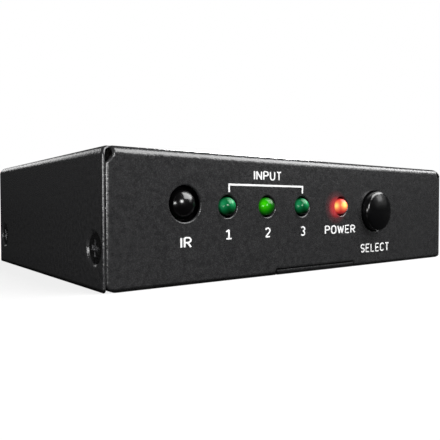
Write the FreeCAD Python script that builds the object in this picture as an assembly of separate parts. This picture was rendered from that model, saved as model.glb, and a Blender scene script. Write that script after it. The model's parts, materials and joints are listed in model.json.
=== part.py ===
import FreeCAD, Part
import math
import os

# A small video input switch: a bent steel cover over a steel tray, with a circuit board between them.
# Millimetres. X runs to the right as seen from the front, Y to the back, Z up.
# The origin is the middle of the base, on the surface that the case stands on.

# Case
case_width = 100.0
case_depth = 64.0
case_height = 24.0
cover_sheet = 0.5
tray_sheet = 1.0
cover_bend_inside = 1.1
tray_bend_inside = 0.5
edge_round = 0.25         # worn and coated edges of the cover's sheet
tray_side_gap = 0.1       # tray flange to the cover's side wall
tray_end_gap = 0.2        # tray to the front panel, rear panel to the top
rear_inset = 0.3          # rear panel in from the cover's rear edge
panel_corner_round = 1.2  # rear panel's upper corners, clear of the cover's bend

# Open folded corners of the cover
side_set = 0.33           # side wall's front edge behind the front panel's face
fold_gap = 0.06           # front panel's end to the side wall's inner face
relief_reach = 1.75       # corner relief, in from the side's outer face
relief_drop = 1.7         # top of the case to the knee of the relief
relief_depth = 0.6        # corner relief, back from the front panel's face
corner_round = 1.6        # lower corners of the front panel

# Notch in the front panel and the tray's tab in it
notch_width = 24.9
notch_height = 1.25
notch_round = 0.4
tab_side_gap = 0.4
tab_recess = 0.1

# Tray
flange_height = 11.0
flange_end_gap = 0.5      # flange to the rear panel
relief_gap = 0.2          # beyond the bend, at the tray's rear corners

# Board
board_side_gap = 5.0      # board edge to the cover's outer face
board_front_gap = 1.6     # board edge to the front panel's inner face
board_rear_gap = 0.3
board_thickness = 1.6
standoff_height = 5.2
standoff_radius = 2.75
standoff_inset = 5.0      # board's side edge to the standoffs
standoff_front = 18.0     # front plane to the front standoffs
standoff_rear = 20.0      # rear plane to the rear standoffs
hole_gap = 0.15           # leads and screws in the board's holes
sheet_thickness = 0.25    # insulating sheet
sheet_margin = 2.0        # insulating sheet in from the board's edge
sheet_hole_gap = 0.5

# Board screws
board_screw_radius = 1.45
board_screw_head_radius = 2.75
board_screw_head_height = 1.9
board_screw_head_round = 0.75
board_screw_length = 5.6
thread_gap = 0.05
recess_width = 0.75       # arms of the cross recess
recess_span = 3.0
recess_depth = 0.8

# Side screws
side_screw_inset = 4.15   # axis to the front or rear plane
side_screw_height = 7.1
side_screw_radius = 1.45
side_head_radius = 2.7
side_head_sink = 0.35     # head's flat below the side's outer face
side_screw_length = 4.0
seat_gap = 0.05           # head's cone to the countersink
collar_wall = 1.0         # drawn collar that holds the thread
collar_length = 1.2

# Lamps
led_radius = 1.8
led_flange_radius = 2.15
led_flange_thickness = 1.0
led_length = 5.55
led_proud = 1.3           # tip in front of the front panel
led_rise = 6.2            # axis above the board
led_first_inset = 25.1    # left side's outer face to the first lamp
led_pitch = 10.0
power_led_inset = 57.8
led_hole_gap = 0.35
rim_round = 0.28
lead_size = 0.5
lead_pitch = 2.54
lead_tail = 1.2           # leads below the board
lead_run = 2.6            # back from the lamp before the lead turns down
lead_gap = 0.15
holder_width = 5.0
holder_depth = 4.4
holder_cap = 2.0          # holder above the lamp's axis

# Remote-control receiver
ir_inset = 15.5           # left side's outer face to the receiver's axis
ir_rise = 6.7
ir_dome_radius = 2.75
ir_dome_sink = 1.7        # dome's centre behind the front plane
ir_body_width = 5.8
ir_body_depth = 3.0
ir_body_half_height = 3.4
ir_hole_gap = 0.55

# Push switch and its cap
select_inset = 70.0       # left side's outer face to the button's axis
cap_radius = 4.65
cap_gap = 0.25            # cap to the hole in the front panel
cap_board_gap = 0.4       # cap above the board
cap_proud = 2.4
cap_length = 5.5
cap_crown = 0.45          # how far the cap's face bulges
cap_edge_round = 0.7
cap_wall = 1.0
cap_face_wall = 2.0       # behind the edge of the crown
cap_boss_wall = 1.0
cap_socket_depth = 3.2
cap_stop_gap = 1.2        # left between cap and housing at full travel
stem_radius = 1.6
stem_gap = 0.06
housing_width = 8.0
housing_length = 9.0
housing_cap = 3.9         # housing above the axis
housing_wall = 1.4
plunger_flange_radius = 2.4
plunger_flange_thickness = 1.0
plunger_pin_radius = 1.2
plunger_pin_length = 1.9
chamber_gap = 0.2         # flange to the chamber's wall
stop_gap = 0.05
button_travel = 1.2
spring_wire_radius = 0.18
spring_turns = 5
spring_end_gap = 0.05
terminal_width = 0.8
terminal_thickness = 0.4
terminal_pitch = 5.0

# Video sockets
socket_inset = 13.5       # left side's outer face to the first socket's middle
socket_to_inlet = 18.0    # last socket's middle to the inlet's axis
socket_count = 4
socket_width = 15.0
socket_foot_width = 11.2
socket_height = 5.7
socket_shoulder = 2.4     # foot to where the sides turn straight
socket_wall = 0.4
socket_length = 11.0
socket_proud = 0.5        # mouth beyond the rear panel
socket_panel_gap = 0.25
tongue_width = 10.6
tongue_thickness = 1.7
tongue_recess = 1.2       # tip inside the mouth
tongue_base_length = 2.6
tongue_gap = 0.05         # base to the shell
contact_pitch = 1.0
contact_width = 0.35
contact_thickness = 0.12
contact_length = 6.0
contact_recess = 0.5      # contact's end from the tongue's tip
upper_contacts = 10
lower_contacts = 9
shell_leg_width = 1.6
shell_leg_thickness = 0.4
shell_leg_inset = 2.5
finger_width = 1.8
finger_length = 4.2
finger_inset = 4.2        # mouth to the finger's window
finger_spread = 3.6

# Power inlet
inlet_inset = 11.5        # right side's outer face to the inlet's axis
inlet_rise = 6.5
inlet_width = 9.0
inlet_height = 10.8
inlet_length = 12.5
inlet_collar_radius = 4.0
inlet_collar_proud = 0.5
inlet_panel_gap = 0.25
inlet_bore_radius = 3.2
inlet_bore_depth = 10.0
inlet_pin_radius = 1.0
inlet_pin_recess = 0.8
inlet_pin_root = 1.5      # stepped root held in the housing's floor
inlet_pin_root_radius = 0.7
inlet_pin_tip_round = 0.5
inlet_leaf_width = 1.6
inlet_leaf_thickness = 0.3
inlet_leaf_length = 7.0
inlet_leaf_gap = 0.05

# Parts on the board
chip_size = 14.0
chip_height = 1.4
chip_x = -8.0
chip_y = 3.0
chip_lift = 0.1
chip_leads_per_side = 12
chip_lead_pitch = 1.0
chip_lead_width = 0.4
chip_lead_reach = 1.0
chip_lead_knee = 0.5      # chip's side to the lead's turn
chip_lead_thickness = 0.2
control_chip_x = 14.0
control_chip_y = -6.0
control_chip_width = 5.0
control_chip_depth = 6.2
control_chip_height = 1.75
crystal_x = -24.0
crystal_y = 3.0
crystal_length = 11.0
crystal_width = 4.4
crystal_height = 3.6
regulator_to_cans = 9.0
regulator_y = 4.0
regulator_width = 6.5
regulator_depth = 3.6
regulator_height = 1.7
inductor_y = 11.5
inductor_size = 6.6
inductor_height = 3.2
can_radius = 3.15
can_height = 5.4
can_base_height = 0.8
can_edge_round = 0.4
can_inset = 17.0          # right side's outer face to the cans' row
can_first_y = -8.0
can_pitch = 8.0
can_count = 3
chip_cap_length = 1.6
chip_cap_width = 0.8
chip_cap_pitch = 3.2
chip_cap_count = 12
chip_cap_first_x = -26.0
chip_cap_y = -9.0

# Places that follow from the sizes above
side_x = case_width / 2
front_y = -case_depth / 2
rear_y = case_depth / 2
cover_bend = cover_bend_inside + cover_sheet
tray_bend = tray_bend_inside + tray_sheet
inner_side_x = side_x - cover_sheet
inner_front_y = front_y + cover_sheet
side_front_y = front_y + side_set
inner_top = case_height - cover_sheet
tray_side_x = inner_side_x - tray_side_gap
tray_front_y = inner_front_y + tray_end_gap
panel_rear_y = rear_y - rear_inset
panel_inner_y = panel_rear_y - tray_sheet
panel_top = inner_top - tray_end_gap
board_bottom = tray_sheet + standoff_height
board_top = board_bottom + board_thickness
board_side_x = side_x - board_side_gap
board_front_y = inner_front_y + board_front_gap
board_rear_y = panel_inner_y - board_rear_gap
led_first_x = led_first_inset - side_x
led_z = board_top + led_rise
led_tip_y = front_y - led_proud
led_base_y = led_tip_y + led_length
ir_x = ir_inset - side_x
ir_z = board_top + ir_rise
ir_dome_y = front_y + ir_dome_sink
select_x = select_inset - side_x
select_z = board_top + cap_board_gap + cap_radius
cap_tip_y = front_y - cap_proud
cap_rear_y = cap_tip_y + cap_length
housing_front_y = cap_rear_y + button_travel + cap_stop_gap
housing_rear_y = housing_front_y + housing_length
flange_front_y = housing_front_y + housing_wall + stop_gap
flange_rear_y = flange_front_y + plunger_flange_thickness
chamber_radius = plunger_flange_radius + chamber_gap
chamber_rear_y = housing_rear_y - housing_wall
socket_mouth_y = panel_rear_y + socket_proud
socket_back_y = socket_mouth_y - socket_length
socket_middle_z = board_top + socket_height / 2
inlet_x = side_x - inlet_inset
inlet_z = board_top + inlet_rise
inlet_mouth_y = panel_rear_y + inlet_collar_proud
inlet_front_y = board_rear_y - inlet_length
inlet_floor_y = inlet_mouth_y - inlet_bore_depth
socket_first_x = socket_inset - side_x
socket_pitch = (inlet_x - socket_to_inlet - socket_first_x) / (socket_count - 1)
can_x = side_x - can_inset
regulator_x = can_x - regulator_to_cans
led_places = [led_first_x + led_pitch * i for i in range(3)] + [power_led_inset - side_x]
led_names = ["led_input_1", "led_input_2", "led_input_3", "led_power"]
socket_names = ["input_socket_1", "input_socket_2", "input_socket_3", "output_socket"]
beyond = 1.0              # how far a cutter runs past what it cuts


def point(x, y, z):
    return FreeCAD.Vector(x, y, z)


def box(x0, x1, y0, y1, z0, z1):
    return Part.makeBox(x1 - x0, y1 - y0, z1 - z0, point(x0, y0, z0))


def rod(x, y, z, radius, length, axis=(0, 1, 0)):
    return Part.makeCylinder(radius, length, point(x, y, z), point(*axis))


def ring(x, y, z, outer, inner, length, axis=(0, 1, 0)):
    return rod(x, y, z, outer, length, axis).cut(rod(x, y, z, inner, length, axis))


def join(shapes):
    whole = shapes[0]
    if len(shapes) > 1:
        whole = whole.multiFuse(shapes[1:])
    return whole.removeSplitter()


def loop(points):
    """A closed face through points. A point may be a pair: an arc's middle and its end."""
    edges = []
    here = points[0]
    for step in points[1:] + [points[0]]:
        if isinstance(step, tuple):
            middle, end = step
            edges.append(Part.Arc(here, middle, end).toShape())
            here = end
        else:
            edges.append(Part.LineSegment(here, step).toShape())
            here = step
    return Part.Face(Part.Wire(edges))


def arc_to(centre, start, end):
    """The middle of the short arc about centre from start to end, with the end."""
    half = (start + end) * 0.5 - centre
    return (centre + half.normalize() * (start - centre).Length, end)


def arch(half_width, top, radius, y0, y1, bottom):
    """A block with its two upper long edges rounded."""
    left_low = point(-half_width, y0, bottom)
    left_high = point(-half_width, y0, top - radius)
    left_top = point(radius - half_width, y0, top)
    right_top = point(half_width - radius, y0, top)
    right_high = point(half_width, y0, top - radius)
    right_low = point(half_width, y0, bottom)
    left_centre = point(radius - half_width, y0, top - radius)
    right_centre = point(half_width - radius, y0, top - radius)
    face = loop([
        left_low,
        left_high,
        arc_to(left_centre, left_high, left_top),
        right_top,
        arc_to(right_centre, right_top, right_high),
        right_low,
    ])
    return face.extrude(point(0, y1 - y0, 0))


def nose(x0, x1, y_front, y_rear, bottom, top, radius):
    """A block with its upper front edge rounded."""
    low_front = point(x0, y_front, bottom)
    high_front = point(x0, y_front, top - radius)
    top_front = point(x0, y_front + radius, top)
    centre = point(x0, y_front + radius, top - radius)
    face = loop([
        low_front,
        high_front,
        arc_to(centre, high_front, top_front),
        point(x0, y_rear, top),
        point(x0, y_rear, bottom),
    ])
    return face.extrude(point(x1 - x0, 0, 0))


def bent_shell():
    outer = arch(side_x, case_height, cover_bend, front_y, rear_y, 0)
    outer = outer.common(nose(-side_x, side_x, front_y, rear_y, 0, case_height, cover_bend))
    hollow_rear = rear_y + beyond
    inner = arch(inner_side_x, inner_top, cover_bend_inside, inner_front_y, hollow_rear, -beyond)
    inner = inner.common(
        nose(-inner_side_x, inner_side_x, inner_front_y, hollow_rear, -beyond, inner_top, cover_bend_inside)
    )
    return outer.cut(inner)


def corner_cutters(side):
    """The open corner, its fold gap and its relief on one side, -1 left or 1 right."""
    panel_edge = inner_side_x - fold_gap
    column = box(panel_edge, side_x + beyond, front_y - beyond, side_front_y, -beyond, inner_top)
    slot = box(panel_edge, inner_side_x, front_y - beyond, inner_front_y, -beyond, inner_top)
    knee_x = side_x - relief_reach
    knee_z = case_height - relief_drop
    run_out = inner_side_x - knee_x
    relief = loop([
        point(knee_x, front_y - beyond, inner_top),
        point(knee_x, front_y - beyond, knee_z),
        point(knee_x + run_out, front_y - beyond, knee_z - run_out),
        point(knee_x + run_out, front_y - beyond, inner_top),
    ]).extrude(point(0, beyond + relief_depth, 0))
    lower = box(panel_edge - corner_round, panel_edge, front_y - beyond, inner_front_y, -beyond, corner_round)
    round_length = beyond + cover_sheet + beyond
    lower = lower.cut(
        rod(panel_edge - corner_round, front_y - beyond, corner_round, corner_round, round_length)
    )
    cutters = [column, slot, relief, lower]
    if side < 0:
        cutters = [cutter.mirror(point(0, 0, 0), point(1, 0, 0)) for cutter in cutters]
    return cutters


def notch_cutter():
    half = notch_width / 2
    start_y = front_y - beyond
    left_knee = point(-half, start_y, notch_height - notch_round)
    left_top = point(notch_round - half, start_y, notch_height)
    right_top = point(half - notch_round, start_y, notch_height)
    right_knee = point(half, start_y, notch_height - notch_round)
    left_centre = point(notch_round - half, start_y, notch_height - notch_round)
    right_centre = point(half - notch_round, start_y, notch_height - notch_round)
    face = loop([
        point(-half, start_y, -beyond),
        left_knee,
        arc_to(left_centre, left_knee, left_top),
        right_top,
        arc_to(right_centre, right_top, right_knee),
        point(half, start_y, -beyond),
    ])
    return face.extrude(point(0, beyond + cover_sheet + beyond, 0))


def front_hole(x, z, radius):
    return rod(x, front_y - beyond, z, radius, beyond + cover_sheet + beyond)


def front_holes():
    holes = [front_hole(x, led_z, led_radius + led_hole_gap) for x in led_places]
    holes.append(front_hole(ir_x, ir_z, ir_dome_radius + ir_hole_gap))
    holes.append(front_hole(select_x, select_z, cap_radius + cap_gap))
    return holes


def side_screw_places():
    """Side, -1 or 1, and distance back of each side screw."""
    return [(side, y) for side in (-1, 1) for y in (front_y + side_screw_inset, rear_y - side_screw_inset)]


def along_side_axis(shape, side, y):
    """Puts a shape, drawn inward along +Z from the side's outer face, at a side screw's place."""
    moved = shape.copy()
    moved.rotate(point(0, 0, 0), point(0, 1, 0), -90 * side)
    moved.translate(point(side * side_x, y, side_screw_height))
    return moved


def countersink():
    """The hole for a side screw: a 90 degree cone and the tapped bore below it."""
    mouth = side_head_radius + side_head_sink + seat_gap
    bore = side_screw_radius + thread_gap
    cone = Part.makeCone(mouth + beyond, bore, mouth + beyond - bore, point(0, 0, -beyond))
    reach = cover_sheet + tray_side_gap + tray_sheet + collar_length + beyond
    return cone.fuse(Part.makeCylinder(bore, reach))


def lies_at(edge, y):
    return abs(edge.BoundBox.YMin - y) < 1e-6 and abs(edge.BoundBox.YMax - y) < 1e-6


def front_edges(shape):
    """Rims and outline of the front panel's outer face, apart from edges that meet the bend."""
    bend_z = case_height - cover_bend
    flat = [edge for edge in shape.Edges if lies_at(edge, front_y) and edge.BoundBox.ZMax < bend_z - 1e-6]
    rims = [edge for edge in flat if edge.Closed]
    return rims, [edge for edge in flat if not edge.Closed]


def side_front_edges(shape):
    """The outer front edges of the two side walls."""
    edges = [edge for edge in shape.Edges if lies_at(edge, side_front_y)]
    return [edge for edge in edges
            if abs(edge.BoundBox.XMin) > side_x - 1e-6 and abs(edge.BoundBox.XMax) > side_x - 1e-6
            and edge.BoundBox.XLength < 1e-6]


def top_cover():
    cover = bent_shell()
    cutters = corner_cutters(-1) + corner_cutters(1) + [notch_cutter()] + front_holes()
    cutters += [along_side_axis(countersink(), side, y) for side, y in side_screw_places()]
    for cutter in cutters:
        cover = cover.cut(cutter)
    cover = cover.removeSplitter()
    cover = cover.makeFillet(rim_round, front_edges(cover)[0])
    cover = cover.makeFillet(edge_round, front_edges(cover)[1])
    return cover.makeFillet(edge_round, side_front_edges(cover))


def tray_channel():
    """Floor and side flanges, bent up from one strip."""
    flange_rear_end = panel_inner_y - flange_end_gap
    length = flange_rear_end - tray_front_y
    outer = arch(tray_side_x, 0, tray_bend, 0, length, -flange_height)
    inner_x = tray_side_x - tray_sheet
    inner = arch(inner_x, -tray_sheet, tray_bend_inside, -beyond, length + beyond, -flange_height - beyond)
    channel = outer.cut(inner)
    channel.rotate(point(0, 0, 0), point(0, 1, 0), 180)
    channel.translate(point(0, tray_front_y, 0))
    return channel


def rear_panel():
    """The rear wall with its bend into the floor, and wings past the corner reliefs."""
    fold_x = tray_side_x - tray_bend - relief_gap
    start_y = panel_inner_y - flange_end_gap - tray_bend
    outer = nose(-fold_x, fold_x, -panel_rear_y, -start_y, -panel_top, 0, tray_bend)
    hollow_top = -tray_sheet
    inner = nose(
        -fold_x, fold_x, -panel_inner_y, beyond - start_y, -panel_top - beyond, hollow_top, tray_bend_inside
    )
    fold = outer.cut(inner)
    fold.rotate(point(0, 0, 0), point(1, 0, 0), 180)
    wings_bottom = tray_bend + relief_gap
    wings = arch(tray_side_x, panel_top, panel_corner_round, panel_inner_y, panel_rear_y, wings_bottom)
    corner_cut = box(
        -tray_side_x, tray_side_x, panel_inner_y - beyond, panel_rear_y + beyond,
        panel_top - panel_corner_round, panel_top + beyond,
    ).cut(wings)
    return fold.cut(corner_cut).fuse(wings)


def socket_outline(x, inset, y):
    """The socket's D-shaped face, drawn inset from its outer size, at depth y."""
    top = board_top + socket_height - inset
    bottom = board_top + inset
    half = socket_width / 2 - inset
    run = (socket_width - socket_foot_width) / 2
    slant = math.hypot(run, socket_shoulder)
    foot = socket_foot_width / 2 - inset * (slant - run) / socket_shoulder
    shoulder = board_top + socket_shoulder + inset * (slant - socket_shoulder) / run
    return loop([
        point(x - foot, y, bottom),
        point(x - half, y, shoulder),
        point(x - half, y, top),
        point(x + half, y, top),
        point(x + half, y, shoulder),
        point(x + foot, y, bottom),
    ])


def socket_places():
    return [socket_first_x + socket_pitch * i for i in range(socket_count)]


def bottom_tray():
    half_tab = notch_width / 2 - tab_side_gap
    tab = box(-half_tab, half_tab, front_y + tab_recess, tray_front_y + beyond, 0, tray_sheet)
    collar_radius = side_screw_radius + thread_gap + collar_wall
    collar_start = cover_sheet + tray_side_gap + tray_sheet
    collar = Part.makeCylinder(collar_radius, collar_length, point(0, 0, collar_start))
    collars = [along_side_axis(collar, side, y) for side, y in side_screw_places()]
    tray = join([tray_channel(), rear_panel(), tab] + collars)
    cutters = [along_side_axis(countersink(), side, y) for side, y in side_screw_places()]
    through = tray_sheet + 2 * beyond
    for x in socket_places():
        opening = socket_outline(x, -socket_panel_gap, panel_inner_y - beyond)
        cutters.append(opening.extrude(point(0, through, 0)))
    collar_hole = inlet_collar_radius + inlet_panel_gap
    cutters.append(rod(inlet_x, panel_inner_y - beyond, inlet_z, collar_hole, through))
    for cutter in cutters:
        tray = tray.cut(cutter)
    return tray


def cross_recess():
    """A cross-shaped pocket, sunk along +Z from the origin."""
    half = recess_span / 2
    arm = recess_width / 2
    return box(-half, half, -arm, arm, -beyond, recess_depth).fuse(
        box(-arm, arm, -half, half, -beyond, recess_depth)
    )


def side_screws():
    cone_depth = side_head_radius - side_screw_radius
    head = Part.makeCone(side_head_radius, side_screw_radius, cone_depth, point(0, 0, 0))
    shank = Part.makeCylinder(side_screw_radius, side_screw_length)
    screw = head.fuse(shank).cut(cross_recess())
    screw.translate(point(0, 0, side_head_sink))
    return [along_side_axis(screw, side, y) for side, y in side_screw_places()]


def standoff_places():
    front = front_y + standoff_front
    rear = rear_y - standoff_rear
    side = board_side_x - standoff_inset
    return [(x, y) for x in (-side, side) for y in (front, rear)]


def board_standoffs():
    bore = board_screw_radius + thread_gap
    up = (0, 0, 1)
    return [ring(x, y, tray_sheet, standoff_radius, bore, standoff_height, up) for x, y in standoff_places()]


def board_screws():
    screws = []
    for x, y in standoff_places():
        head = rod(x, y, board_top, board_screw_head_radius, board_screw_head_height, (0, 0, 1))
        head = head.makeFillet(board_screw_head_round, [top_circle(head)])
        pocket = cross_recess()
        pocket.rotate(point(0, 0, 0), point(1, 0, 0), 180)
        pocket.translate(point(x, y, board_top + board_screw_head_height))
        shank = rod(x, y, board_top - board_screw_length, board_screw_radius, board_screw_length, (0, 0, 1))
        screws.append(head.fuse(shank).cut(pocket))
    return screws


def top_circle(shape):
    return max((edge for edge in shape.Edges if edge.Closed), key=lambda edge: edge.CenterOfMass.z)


def insulating_sheet():
    side = board_side_x - sheet_margin
    sheet = box(
        -side, side, board_front_y + sheet_margin, board_rear_y - sheet_margin,
        tray_sheet, tray_sheet + sheet_thickness,
    )
    for x, y in standoff_places():
        hole = standoff_radius + sheet_hole_gap
        sheet = sheet.cut(rod(x, y, 0, hole, case_height, (0, 0, 1)))
    return sheet


def lead_hole(x, y, half_x, half_y):
    return box(
        x - half_x - hole_gap, x + half_x + hole_gap, y - half_y - hole_gap, y + half_y + hole_gap,
        board_bottom - beyond, board_top + beyond,
    )


def led_lead_places():
    """X and Y of each lamp lead where it passes the board."""
    y = led_base_y + lead_run - lead_size / 2
    return [(x + side * lead_pitch / 2, y) for x in led_places for side in (-1, 1)]


def ir_lead_places():
    y = ir_dome_y + ir_body_depth / 2
    return [(ir_x + lead_pitch * i, y) for i in (-1, 0, 1)]


def terminal_places():
    half = terminal_pitch / 2
    middle_y = (housing_front_y + housing_rear_y) / 2
    return [(select_x + sx * half, middle_y + sy * half) for sx in (-1, 1) for sy in (-1, 1)]


def shell_leg_places():
    places = []
    for x in socket_places():
        for side in (-1, 1):
            for y in (socket_back_y + shell_leg_inset, board_rear_y - shell_leg_inset):
                places.append((x + side * (socket_foot_width / 2 - shell_leg_thickness), y))
    return places


def main_board():
    board = box(-board_side_x, board_side_x, board_front_y, board_rear_y, board_bottom, board_top)
    cutters = []
    for x, y in standoff_places():
        cutters.append(rod(x, y, 0, board_screw_radius + hole_gap, case_height, (0, 0, 1)))
    lead_half = lead_size / 2
    for x, y in led_lead_places() + ir_lead_places():
        cutters.append(lead_hole(x, y, lead_half, lead_half))
    for x, y in terminal_places():
        cutters.append(lead_hole(x, y, terminal_width / 2, terminal_thickness / 2))
    for x, y in shell_leg_places():
        cutters.append(lead_hole(x, y, shell_leg_thickness / 2, shell_leg_width / 2))
    for cutter in cutters:
        board = board.cut(cutter)
    return board


def led_lens(x):
    straight = led_length - led_radius
    centre_y = led_tip_y + led_radius
    body = rod(x, centre_y, led_z, led_radius, straight)
    dome = Part.makeSphere(led_radius, point(x, centre_y, led_z))
    flange = rod(x, led_base_y - led_flange_thickness, led_z, led_flange_radius, led_flange_thickness)
    return join([body, dome, flange])


def led_leads():
    leads = []
    half = lead_size / 2
    for x, y in led_lead_places():
        run = box(x - half, x + half, led_base_y, y + half, led_z - half, led_z + half)
        drop = box(x - half, x + half, y - half, y + half, board_bottom - lead_tail, led_z + half)
        leads.append(join([run, drop]))
    return leads


def led_holders():
    holders = []
    half = lead_size / 2 + lead_gap
    for x in led_places:
        block = box(
            x - holder_width / 2, x + holder_width / 2, led_base_y, led_base_y + holder_depth,
            board_top, led_z + holder_cap,
        )
        for side in (-1, 1):
            lead_x = x + side * lead_pitch / 2
            run_end = led_base_y + lead_run + lead_gap
            run = box(lead_x - half, lead_x + half, led_base_y - beyond, run_end, led_z - half, led_z + half)
            drop = box(
                lead_x - half, lead_x + half, run_end - 2 * half, run_end, board_top - beyond, led_z + half
            )
            block = block.cut(run).cut(drop)
        holders.append(block)
    return holders


def ir_receiver():
    body = box(
        ir_x - ir_body_width / 2, ir_x + ir_body_width / 2, ir_dome_y, ir_dome_y + ir_body_depth,
        ir_z - ir_body_half_height, ir_z + ir_body_half_height,
    )
    dome = Part.makeSphere(ir_dome_radius, point(ir_x, ir_dome_y, ir_z))
    front_half = box(
        ir_x - ir_dome_radius, ir_x + ir_dome_radius, ir_dome_y - ir_dome_radius,
        ir_dome_y + ir_body_depth / 2, ir_z - ir_dome_radius, ir_z + ir_dome_radius,
    )
    return join([body, dome.common(front_half)])


def ir_leads():
    half = lead_size / 2
    top = ir_z - ir_body_half_height
    return [box(x - half, x + half, y - half, y + half, board_bottom - lead_tail, top)
            for x, y in ir_lead_places()]


def crowned_cap():
    """The cap's outside: a cylinder whose face is a shallow crown with a rounded rim."""
    edge_y = cap_tip_y + cap_crown
    crown_radius = (cap_radius ** 2 + cap_crown ** 2) / (2 * cap_crown)
    body = rod(select_x, edge_y, select_z, cap_radius, cap_length - cap_crown)
    ball = Part.makeSphere(crown_radius, point(select_x, cap_tip_y + crown_radius, select_z))
    crown = ball.common(rod(select_x, cap_tip_y - beyond, select_z, cap_radius, beyond + cap_crown))
    cap = join([body, crown])
    rim = [edge for edge in cap.Edges
           if edge.Closed and abs(edge.CenterOfMass.y - edge_y) < 1e-4]
    return cap.makeFillet(cap_edge_round, rim)


def select_button():
    cap = crowned_cap()
    floor_y = cap_tip_y + cap_crown + cap_face_wall
    boss_radius = stem_radius + cap_boss_wall
    hollow = ring(select_x, floor_y, select_z, cap_radius - cap_wall, boss_radius, cap_length)
    socket = rod(
        select_x, cap_rear_y - cap_socket_depth, select_z, stem_radius, cap_socket_depth + beyond
    )
    return cap.cut(hollow).cut(socket)


def switch_plunger():
    stem_start = cap_rear_y - cap_socket_depth
    stem = rod(select_x, stem_start, select_z, stem_radius, flange_front_y - stem_start)
    flange = rod(select_x, flange_front_y, select_z, plunger_flange_radius, plunger_flange_thickness)
    pin = rod(select_x, flange_rear_y, select_z, plunger_pin_radius, plunger_pin_length)
    return join([stem, flange, pin])


def switch_housing():
    half = housing_width / 2
    block = box(
        select_x - half, select_x + half, housing_front_y, housing_rear_y, board_top, select_z + housing_cap
    )
    chamber_front_y = housing_front_y + housing_wall
    chamber = rod(select_x, chamber_front_y, select_z, chamber_radius, chamber_rear_y - chamber_front_y)
    mouth_length = beyond + housing_wall + stop_gap
    mouth = rod(select_x, housing_front_y - beyond, select_z, stem_radius + stem_gap, mouth_length)
    return block.cut(chamber).cut(mouth)


def switch_terminals():
    half_x = terminal_width / 2
    half_y = terminal_thickness / 2
    return [box(x - half_x, x + half_x, y - half_y, y + half_y, board_bottom - lead_tail, board_top)
            for x, y in terminal_places()]


def switch_spring():
    """A coil between the plunger's flange and the end of the chamber."""
    coil_radius = (plunger_flange_radius + plunger_pin_radius) / 2 + spring_wire_radius / 2
    start_y = flange_rear_y + spring_end_gap + spring_wire_radius
    end_y = chamber_rear_y - spring_end_gap - spring_wire_radius
    height = end_y - start_y
    line = Part.makeHelix(height / spring_turns, height, coil_radius)
    start = point(coil_radius, 0, 0)
    pitch_angle = math.atan2(height / spring_turns, 2 * math.pi * coil_radius)
    along = point(0, math.cos(pitch_angle), math.sin(pitch_angle))
    section = Part.Wire([Part.Circle(start, along, spring_wire_radius).toShape()])
    coil = Part.Wire(line.Edges).makePipeShell([section], True, True)
    coil.rotate(point(0, 0, 0), point(1, 0, 0), -90)
    coil.translate(point(select_x, start_y, select_z))
    return coil


def socket_shell(x):
    outer = socket_outline(x, 0, socket_back_y).extrude(point(0, socket_length, 0))
    hollow_front = socket_back_y + socket_wall
    inner = socket_outline(x, socket_wall, hollow_front).extrude(point(0, socket_length, 0))
    shell = outer.cut(inner)
    top = board_top + socket_height
    window_rear = socket_mouth_y - finger_inset
    for side in (-1, 1):
        middle = x + side * finger_spread
        window = box(
            middle - finger_width / 2, middle + finger_width / 2, window_rear - finger_length,
            window_rear, top - socket_wall - tongue_gap, top + beyond,
        )
        shell = shell.cut(window)
    legs = []
    for leg_x, leg_y in shell_leg_places():
        if abs(leg_x - x) < socket_pitch / 2:
            legs.append(box(
                leg_x - shell_leg_thickness / 2, leg_x + shell_leg_thickness / 2,
                leg_y - shell_leg_width / 2, leg_y + shell_leg_width / 2,
                board_bottom, board_top + socket_wall,
            ))
    return join([shell] + legs)


def socket_tongue(x):
    base_front = socket_back_y + socket_wall + tongue_gap
    base = socket_outline(x, socket_wall + tongue_gap, base_front)
    base = base.extrude(point(0, tongue_base_length, 0))
    half = tongue_width / 2
    tongue = box(
        x - half, x + half, base_front, socket_mouth_y - tongue_recess,
        socket_middle_z - tongue_thickness / 2, socket_middle_z + tongue_thickness / 2,
    )
    return join([base, tongue])


def socket_contacts(x):
    end_y = socket_mouth_y - tongue_recess - contact_recess
    rows = [
        (upper_contacts, socket_middle_z + tongue_thickness / 2),
        (lower_contacts, socket_middle_z - tongue_thickness / 2 - contact_thickness),
    ]
    contacts = []
    for count, z in rows:
        for i in range(count):
            middle = x + (i - (count - 1) / 2) * contact_pitch
            contacts.append(box(
                middle - contact_width / 2, middle + contact_width / 2, end_y - contact_length, end_y,
                z, z + contact_thickness,
            ))
    return contacts


def inlet_leaf():
    z = inlet_z - inlet_bore_radius - inlet_leaf_thickness
    half = inlet_leaf_width / 2
    return box(inlet_x - half, inlet_x + half, inlet_floor_y, inlet_floor_y + inlet_leaf_length,
               z, z + inlet_leaf_thickness)


def inlet_housing():
    half = inlet_width / 2
    top = board_top + inlet_height
    block = box(inlet_x - half, inlet_x + half, inlet_front_y, board_rear_y, board_top, top)
    collar_start = board_rear_y - beyond
    collar = rod(inlet_x, collar_start, inlet_z, inlet_collar_radius, inlet_mouth_y - collar_start)
    bore = rod(inlet_x, inlet_floor_y, inlet_z, inlet_bore_radius, inlet_bore_depth + beyond)
    pin_root = rod(
        inlet_x, inlet_floor_y - inlet_pin_root, inlet_z, inlet_pin_root_radius, inlet_pin_root + beyond
    )
    gap = inlet_leaf_gap
    leaf_z = inlet_z - inlet_bore_radius - inlet_leaf_thickness
    leaf_half = inlet_leaf_width / 2 + gap
    leaf_room = box(inlet_x - leaf_half, inlet_x + leaf_half, inlet_floor_y,
                    inlet_floor_y + inlet_leaf_length + gap, leaf_z, inlet_z)
    return join([block, collar]).cut(bore).cut(pin_root).cut(leaf_room)


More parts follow.
